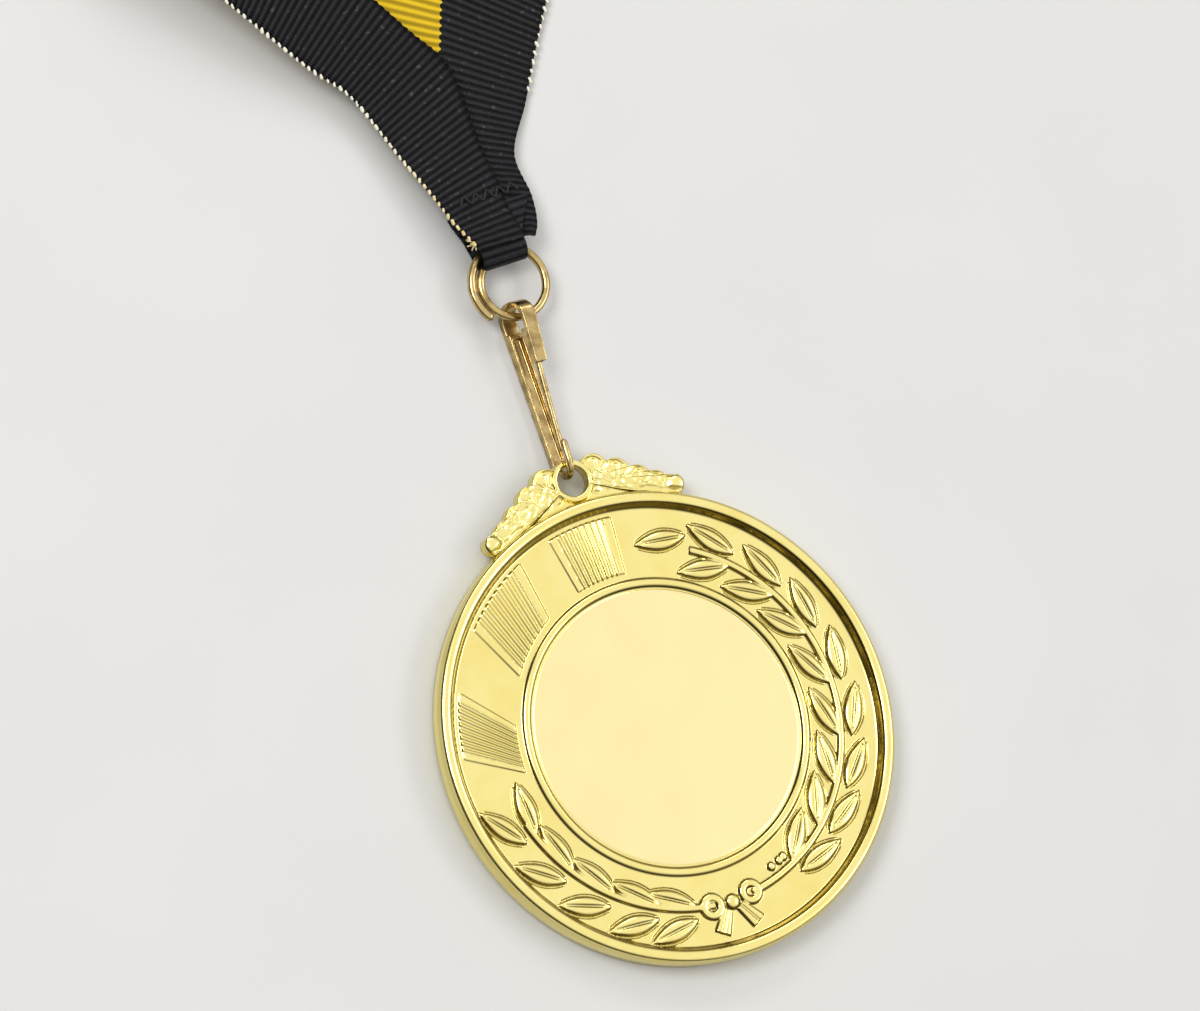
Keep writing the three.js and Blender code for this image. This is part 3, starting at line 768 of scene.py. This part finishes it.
def crest_height(x, y):
    """Low work on the crest: a fan of ridges in each lobe, the end balls, and a collar round the hole."""
    height = np.full_like(x, CREST_GROUND)
    for side in (-1, 1):
        for lobe_x, lobe_y, radius in CREST_LOBES[:-1]:
            across, up = side * (x - side * lobe_x), y - lobe_y + 0.5 * radius
            distance = np.hypot(across, up) / radius
            fan = 0.5 + 0.5 * np.cos(FAN_RIDGES * np.arctan2(across, up))
            span = smoothstep(distance, 0.2, 0.45)
            shell = FAN_FLOOR + FAN_RISE * fan * span * (1 - smoothstep(distance, 1.0, 1.2))
            height = np.maximum(height, CREST_GROUND + shell * (distance < 1.25))
            height = np.maximum(height, CREST_GROUND + dome(across, up, (0, 0), 0.35 * radius, FAN_EYE_RISE))
        ball_x, ball_y, radius = CREST_LOBES[-1]
        distance = np.hypot(x - side * ball_x, y - ball_y) / radius
        height = np.maximum(height, CREST_GROUND + BALL_RISE * np.sqrt(np.clip(1 - distance**2, 0, 1)))
        height = height - BALL_CUT_DEPTH * np.exp(-(((distance - 1.12) / 0.12) ** 2))
    foot = smoothstep(np.hypot(x, y), MEDAL_RADIUS + 0.1, MEDAL_RADIUS + 0.8)
    height = CREST_GROUND + (height - CREST_GROUND) * foot
    from_hole = np.hypot(x - HOLE_CENTRE[0], y - HOLE_CENTRE[1])
    collar = COLLAR_RISE * (1 - smoothstep(from_hole, COLLAR_RADIUS - COLLAR_EDGE, COLLAR_RADIUS))
    return np.where(collar > 0, CREST_GROUND + collar, height)


def rolled_edge(share):
    """How far a quarter-round edge has dropped, from 0 where it starts to nearly 1 at its lip."""
    return 1 - np.sqrt(1 - share**2 * 0.98)


def crest_mesh():
    """The crest as rings from the hole's edge out to its scalloped outline and back underneath."""
    columns = CREST_COLUMNS
    turn = np.linspace(0, 2 * math.pi, columns, endpoint=False)
    direction = np.stack([np.sin(turn), np.cos(turn)], axis=1)
    reach = np.array([crest_outline(angle) for angle in turn])
    rows, values = [], []
    for share in np.linspace(0, 1, CREST_RINGS):
        distance = HOLE_RADIUS + (reach - HOLE_RADIUS) * share
        place = HOLE_CENTRE + direction * distance[:, None]
        roll = np.clip(1 - (reach - distance) / CREST_ROLL_WIDTH, 0, 1)
        lip = np.clip(1 - (distance - HOLE_RADIUS) / CREST_ROLL_WIDTH, 0, 1)
        from_bead = (reach - distance - CREST_BEAD_HALF_WIDTH) / CREST_BEAD_HALF_WIDTH
        bead = CREST_BEAD_RISE * np.sqrt(np.clip(1 - from_bead**2, 0, 1))
        height = np.maximum(crest_height(place[:, 0], place[:, 1]), CREST_GROUND + bead)
        height = height - CREST_EDGE_ROLL * rolled_edge(roll) - CREST_HOLE_ROLL * rolled_edge(lip)
        rows.append(np.column_stack([place, height]))
        values.append(np.zeros((columns, 2)))
    edge, lip = rows[-1], rows[0]
    underside = [
        (edge, CREST_OUTER_SIDE),
        (edge, CREST_BOTTOM),
        (lip, CREST_BOTTOM),
        (lip, CREST_HOLE_SIDE),
        (lip, None),
    ]
    for ring, height in underside:
        closed = ring.copy()
        if height is not None:
            closed[:, 2] = height
        rows.append(closed)
        values.append(np.zeros((columns, 2)))
    values = paint_slope_shade(np.array(rows), np.array(values))
    return np.concatenate(rows), grid_faces(len(rows), columns, wrap=True), np.concatenate(values)


def build_medal(gold):
    disc_points, disc_faces, disc_values = disc_mesh()
    crest_points, crest_faces, crest_values = crest_mesh()
    points = np.concatenate([disc_points, crest_points])
    faces = np.concatenate([disc_faces, crest_faces + len(disc_points)])
    values = np.concatenate([disc_values, crest_values])
    medal = new_piece("medal", points, faces, [gold], "medal", uv=values)
    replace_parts(outward(medal, merge=0.0005), "medal_disc")


# ---------------------------------------------------------------- the clip, gate and ring


def rounded_copy(frame, node, name, body, material, smoothing):
    """A CAD node's shape with its edges softened: remeshed and smoothed at millimetre scale."""
    mesh = frame["nodes"][node].data.copy()
    mesh.transform(Matrix.Scale(1 / MM, 4))
    obj = bpy.data.objects.new(name, mesh)
    bpy.context.scene.collection.objects.link(obj)
    remesh = obj.modifiers.new("remesh", "REMESH")
    remesh.mode = "VOXEL"
    remesh.voxel_size = CLIP_VOXEL
    soften = obj.modifiers.new("soften", "SMOOTH")
    soften.iterations = smoothing
    graph = bpy.context.evaluated_depsgraph_get()
    final = bpy.data.meshes.new_from_object(obj.evaluated_get(graph))
    obj.modifiers.clear()
    final.transform(Matrix.Scale(MM, 4))
    final.materials.clear()
    final.materials.append(material)
    final.shade_smooth()
    obj.data = final
    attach(obj, body)
    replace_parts(obj, node)


def build_ring(material):
    """The split ring as one spiral of round wire."""
    turned = np.linspace(0, RING_SWEEP, RING_STEPS)
    angle = np.radians(RING_START - turned)
    radius = RING_OUTER_END_RADIUS - RING_PITCH * turned / 360
    flat = [radius * np.cos(angle), radius * np.sin(angle), np.zeros(RING_STEPS)]
    path = RING_CENTRE + np.stack(flat, axis=1)
    points, faces = tube(path, RING_WIRE, sides=RING_SIDES)
    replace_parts(new_piece("split_ring_wire", points, faces, [material], "ring"), "split_ring")


# ---------------------------------------------------------------- the ribbon


def strap_lines(black, middle, yellow, height):
    """Cross lines of a strap: for each step the places of its black edge, colour line and yellow edge."""
    curves = [smooth_curve(edge, STRAP_STEPS) for edge in (black, middle, yellow)]
    lines = np.zeros((STRAP_STEPS, 3, 3))
    for k, curve in enumerate(curves):
        lines[:, k, :2] = curve
        lines[:, k, 2] = height(curve[:, 1])
    return lines


def left_height(y):
    """The left strap comes down from the ring's wrap and rises again to the top of the stack."""
    return 3.8 - 1.0 * smoothstep(y, 53, 57.5) - 0.6 * smoothstep(y, 59.5, 66) + 4.0 * smoothstep(y, 68, 94)


def right_height(y):
    """The right strap comes down from the ring's wrap to lie under the stack."""
    return 3.1 - 0.9 * smoothstep(y, 53, 57) - 1.45 * smoothstep(y, 57, 68)


def left_strap_lines():
    """The left strap from the stack to the ring, its yellow half folded under and drawn back by the ring."""
    left = strap_lines(LEFT_BLACK, LEFT_MIDDLE, LEFT_BLACK, left_height)[::-1]
    near_ring = 1 - smoothstep(left[:, 0, 1], *YELLOW_RING_SPAN)
    left[:, 2] += (YELLOW_INSET + YELLOW_RING_INSET * near_ring)[:, None] * (left[:, 1] - left[:, 2])
    left[:, 2, 1] += YELLOW_SET_BACK * near_ring
    left[:, 2, 2] = left_height(left[:, 2, 1])
    return left


def flat_run(start_x, end_x, height, count):
    """Cross lines of one flat run of the folded stack, from one x to another."""
    lines = np.zeros((count, 3, 3))
    for k, (first, last) in enumerate(zip(start_x, end_x)):
        lines[:, k, 0] = np.linspace(first, last, count)
        lines[:, k, 1] = STACK_NEAR_Y + k * RIBBON_WIDTH / 2
        lines[:, k, 2] = height
    return lines


def ribbon_lines():
    """Every cross line of the ribbon: the right strap from the ring, the stack, and the left strap back."""
    rng = np.random.default_rng(7)
    parts = [strap_lines(RIGHT_BLACK, RIGHT_MIDDLE, RIGHT_YELLOW, right_height)]
    start_x = parts[0][-1, :, 0]
    for run in range(RUNS):
        to_left = run % 2 == 0
        last = run == RUNS - 1
        scatter = rng.uniform(-RUN_SCATTER, RUN_SCATTER) * (1 if to_left else -1)
        stop = (STACK_LEFT_X if to_left else STACK_RIGHT_X) + scatter
        end_x = np.array(LEFT_CREASE_X) if last else np.full(3, stop)
        step = FINE_STEP if last else COARSE_STEP
        count = max(FEWEST_STEPS, int(np.abs(start_x - end_x).max() / step))
        height = RUN_FIRST_HEIGHT + RUN_RISE * run
        parts.append(flat_run(start_x, end_x, height, count))
        start_x = end_x
    parts.append(left_strap_lines())
    turned = [parts[0]]
    for before, after in zip(parts, parts[1:]):
        turned.append(fold(before[-1], after[0], before[-1] - before[-2]))
        turned.append(after)
    return np.concatenate(turned)


def fold(before, after, heading):
    """Cross lines of a half turn that joins two layers, one above the other."""
    forward = heading / np.linalg.norm(heading, axis=1)[:, None]
    rise = np.abs(after - before)[:, 2].mean() / 2
    turn = np.linspace(0, math.pi, FOLD_STEPS)[1:-1]
    lines = []
    for angle in turn:
        share = (1 - math.cos(angle)) / 2
        lines.append(before + (after - before) * share + forward * rise * math.sin(angle) * FOLD_BULGE)
    return np.array(lines)


def ribbon_surface(lines):
    """A grid of points across every cross line, with its (along, across) place on the flat ribbon."""
    along = lengths_along(lines[:, 1])
    across = np.linspace(0, RIBBON_WIDTH, RIBBON_COLUMNS)
    half = RIBBON_WIDTH / 2
    black_share = np.clip(1 - across / half, 0, 1)[None, :, None]
    yellow_share = np.clip(across / half - 1, 0, 1)[None, :, None]
    points = (
        lines[:, None, 1] * (1 - black_share - yellow_share)
        + lines[:, None, 0] * black_share
        + lines[:, None, 2] * yellow_share
    )
    return points, along, across


def ribbed(points, along, rib_mask):
    """Raises the ribs of the weave where they can be seen."""
    tangent = np.gradient(points, axis=0)
    side = np.gradient(points, axis=1)
    normal = np.cross(side, tangent)
    normal /= np.maximum(np.linalg.norm(normal, axis=2), NEARLY_ZERO)[:, :, None]
    wave = np.abs(np.cos(math.pi * along / RIB_PITCH)) ** 0.8
    return points + normal * (RIB_DEPTH * wave * rib_mask)[:, None, None]


def lower_yellow_half(points, lines, across):
    """Sets the yellow half below the black one wherever the ribbon is folded lengthwise."""
    opened = smoothstep(np.linalg.norm(lines[:, 2] - lines[:, 0], axis=1), *FOLD_OPEN_WIDTH)
    folded = np.maximum(1 - smoothstep(points[:, :, 1], *FOLD_OPEN_Y), 1 - opened[:, None])
    points[:, :, 2] -= FOLD_UNDER * folded * smoothstep(across / RIBBON_WIDTH, *FOLD_SPAN)[None, :]


def pleat_by_ring(points, across):
    """Gathers the black half into low pleats where it is drawn together at the ring."""
    gather = 1 - smoothstep(points[:, :, 1], *PLEAT_END_Y)
    share = across / RIBBON_WIDTH
    waves = 0.5 - 0.5 * np.cos(share * 2 * math.pi * PLEATS)
    pleats = waves * (1 - smoothstep(share, *PLEAT_END_SHARE))
    points[:, :, 2] += PLEAT_RISE * gather * pleats[None, :]


def build_ribbon(material):
    lines = ribbon_lines()
    points, along, across = ribbon_surface(lines)
    steps = np.linalg.norm(np.diff(lines[:, 1], axis=0), axis=1)
    fine = np.concatenate([steps, steps[-1:]]) < RIBBED_STEP
    points = ribbed(points, along, fine)
    lower_yellow_half(points, lines, across)
    pleat_by_ring(points, across)
    values = np.stack(np.broadcast_arrays(along[:, None], across[None, :]), axis=-1).reshape(-1, 2)
    ribbon = new_piece(
        "neck_ribbon", points.reshape(-1, 3), grid_faces(len(lines), RIBBON_COLUMNS), [material], "ribbon",
        uv=values,
    )
    thicken(ribbon)
    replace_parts(ribbon, "ribbon_left_strap", "ribbon_right_strap", "ribbon_folded_stack")
    return ribbon


def wrap_path():
    """Side view of the flap round the ring: in along the top, round the wire, and out along the bottom."""
    level = RING_CENTRE[2]
    path = [(y, level + off) for y, off in WRAP_FLAP]
    for angle in np.linspace(90, 270, WRAP_TURN_STEPS):
        turn = math.radians(angle)
        path.append((WRAP_CENTRE_Y + WRAP_RADIUS * math.cos(turn), level + WRAP_RADIUS * math.sin(turn)))
    path += [(y, level - off) for y, off in reversed(WRAP_FLAP)]
    return smooth_curve(path, WRAP_STEPS)


def build_ring_wrap(material):
    """The sewn ends where they wrap the top of the ring, as one turned-over flap."""
    path = wrap_path()
    columns = WRAP_COLUMNS
    rows, values = [], []
    for (y, z), place in zip(path, lengths_along(path)):
        spread = smoothstep(y, *WRAP_SPREAD_Y)
        x_left = WRAP_LEFT_X - WRAP_LEFT_SPREAD * spread
        x_right = WRAP_RIGHT_X + WRAP_RIGHT_SPREAD * spread
        x = np.linspace(x_left, x_right, columns)
        ribs = WRAP_RIB_DEPTH * abs(math.cos(math.pi * place / RIB_PITCH))
        out = np.sign(z - RING_CENTRE[2]) * ribs
        rows.append(np.stack([x, np.full(columns, y), np.full(columns, z + out)], axis=1))
        values.append(np.stack([np.full(columns, place), np.linspace(*WRAP_ACROSS, columns)], axis=1))
    wrap = new_piece(
        "ring_wrap", np.concatenate(rows), grid_faces(len(rows), columns), [material], "ribbon",
        uv=np.concatenate(values),
    )
    thicken(wrap)
    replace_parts(wrap, "ribbon_ring_loop")
    return wrap


def build_picots(material):
    """Pale thread loops along the straps' black selvedges, and a frayed tuft where the left one is cut."""
    rng = np.random.default_rng(3)
    left = [(x, y, left_height(y)) for x, y in smooth_curve(LEFT_BLACK, LEFT_PICOTS)[1:]]
    right = [
        (x, y, right_height(y)) for x, y in smooth_curve(RIGHT_BLACK, RIGHT_PICOTS) if y > RIGHT_PICOT_FROM_Y
    ]
    points, faces = [], []

    def add(path, radius):
        strand, strand_faces = tube(path, radius, 10, 3)
        total = sum(len(part) for part in points)
        faces.extend([i + total for i in face] for face in strand_faces)
        points.append(strand)

    for place in left + right:
        half = np.array([rng.uniform(*PICOT_LEAN), rng.uniform(*PICOT_HALF_LENGTH), 0])
        add([place - half, place + half], rng.uniform(*PICOT_RADIUS))
    for _ in range(FRAYED_THREADS):
        root = np.array([rng.uniform(*limits) for limits in FRAY_ROOT])
        reach = np.array([rng.uniform(*limits) for limits in FRAY_REACH])
        add(smooth_curve([root, root + 0.5 * reach - FRAY_SAG, root + reach], FRAY_STEPS), FRAY_RADIUS)
    return new_piece("selvedge_picots", np.concatenate(points), faces, [material], "ribbon")


# ---------------------------------------------------------------- floor, light and camera


def build_stage():
    """A plain pale floor just under the part."""
    mesh = bpy.data.meshes.new("floor")
    half = FLOOR_HALF_SIDE
    corners = [(-half, -half, 0), (half, -half, 0), (half, half, 0), (-half, half, 0)]
    mesh.from_pydata(corners, [], [(0, 1, 2, 3)])
    floor = bpy.data.objects.new("floor", mesh)
    floor.location.z = -FLOOR_DROP
    bpy.context.scene.collection.objects.link(floor)
    paper = Shader("paper", (0.78, 0.78, 0.77), 0.85)
    paper.set("Base Color", paper.mix(paper.noise(40, 3), PAPER_DARK, PAPER_LIGHT))
    mesh.materials.append(paper.material)


def area_light(name, place, size, power):
    light = bpy.data.lights.new(name, "AREA")
    light.shape = "RECTANGLE"
    light.size, light.size_y = size
    light.energy = power
    obj = bpy.data.objects.new(name, light)
    obj.location = place
    obj.rotation_euler = (Vector(LIGHT_AIM) - Vector(place)).to_track_quat("-Z", "Y").to_euler()
    bpy.context.scene.collection.objects.link(obj)


def build_world():
    """A studio sky that brightens upwards and to one side."""
    world = bpy.data.worlds.new("studio")
    world.use_nodes = True
    nodes, links = world.node_tree.nodes, world.node_tree.links
    split = nodes.new("ShaderNodeSeparateXYZ")
    links.new(nodes.new("ShaderNodeTexCoord").outputs["Generated"], split.inputs[0])
    side = nodes.new("ShaderNodeMath")
    side.operation = "MULTIPLY_ADD"
    links.new(split.outputs["X"], side.inputs[0])
    side.inputs[1].default_value = SKY_SIDE_SHARE
    links.new(split.outputs["Z"], side.inputs[2])
    sky = nodes.new("ShaderNodeMapRange")
    links.new(side.outputs[0], sky.inputs["Value"])
    for socket, value in SKY_RAMP:
        sky.inputs[socket].default_value = value
    links.new(sky.outputs["Result"], nodes["Background"].inputs["Strength"])
    nodes["Background"].inputs["Color"].default_value = SKY_COLOUR
    bpy.context.scene.world = world


def build_lights():
    for name, place, size, power in LIGHTS:
        area_light(name, place, size, power)
    build_world()
    bpy.context.scene.view_settings.view_transform = "Standard"


def build_camera():
    camera = bpy.data.cameras.new("camera")
    camera.lens = CAMERA_LENS
    camera.clip_start = CAMERA_CLIP_START
    obj = bpy.data.objects.new("camera", camera)
    back = CAMERA_BACK.normalized()
    right = CAMERA_UP.cross(back).normalized()
    up = back.cross(right)
    turn = Matrix((right, up, back)).transposed().to_4x4()
    obj.matrix_world = Matrix.Translation((CAMERA_TARGET + back * CAMERA_DISTANCE) * MM) @ turn
    bpy.context.scene.collection.objects.link(obj)
    bpy.context.scene.camera = obj


# ---------------------------------------------------------------- the whole scene

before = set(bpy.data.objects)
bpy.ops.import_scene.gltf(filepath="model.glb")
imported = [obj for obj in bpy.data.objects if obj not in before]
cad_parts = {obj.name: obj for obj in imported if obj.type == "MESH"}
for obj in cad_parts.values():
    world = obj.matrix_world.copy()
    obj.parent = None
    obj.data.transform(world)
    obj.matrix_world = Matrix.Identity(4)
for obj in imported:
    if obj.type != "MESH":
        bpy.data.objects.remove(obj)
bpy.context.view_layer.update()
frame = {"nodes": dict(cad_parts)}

gold = medal_gold()
plate = clip_gold()
weave = grosgrain()
black = thread("black_thread", TACK_BLACK)

build_stage()
build_medal(gold)
rounded_copy(frame, "clip_body", "snap_clip", "clip", plate, CLIP_BODY_SMOOTHING)
rounded_copy(frame, "clip_gate", "clip_gate_wire", "gate", plate, CLIP_GATE_SMOOTHING)
build_ring(plate)
ribbon = build_ribbon(weave)
ring_wrap = build_ring_wrap(weave)
picots = build_picots(picot_thread())
tack = frame["nodes"]["bar_tack_thread"]
tack.data.materials.clear()
tack.data.materials.append(black)
build_lights()
build_camera()
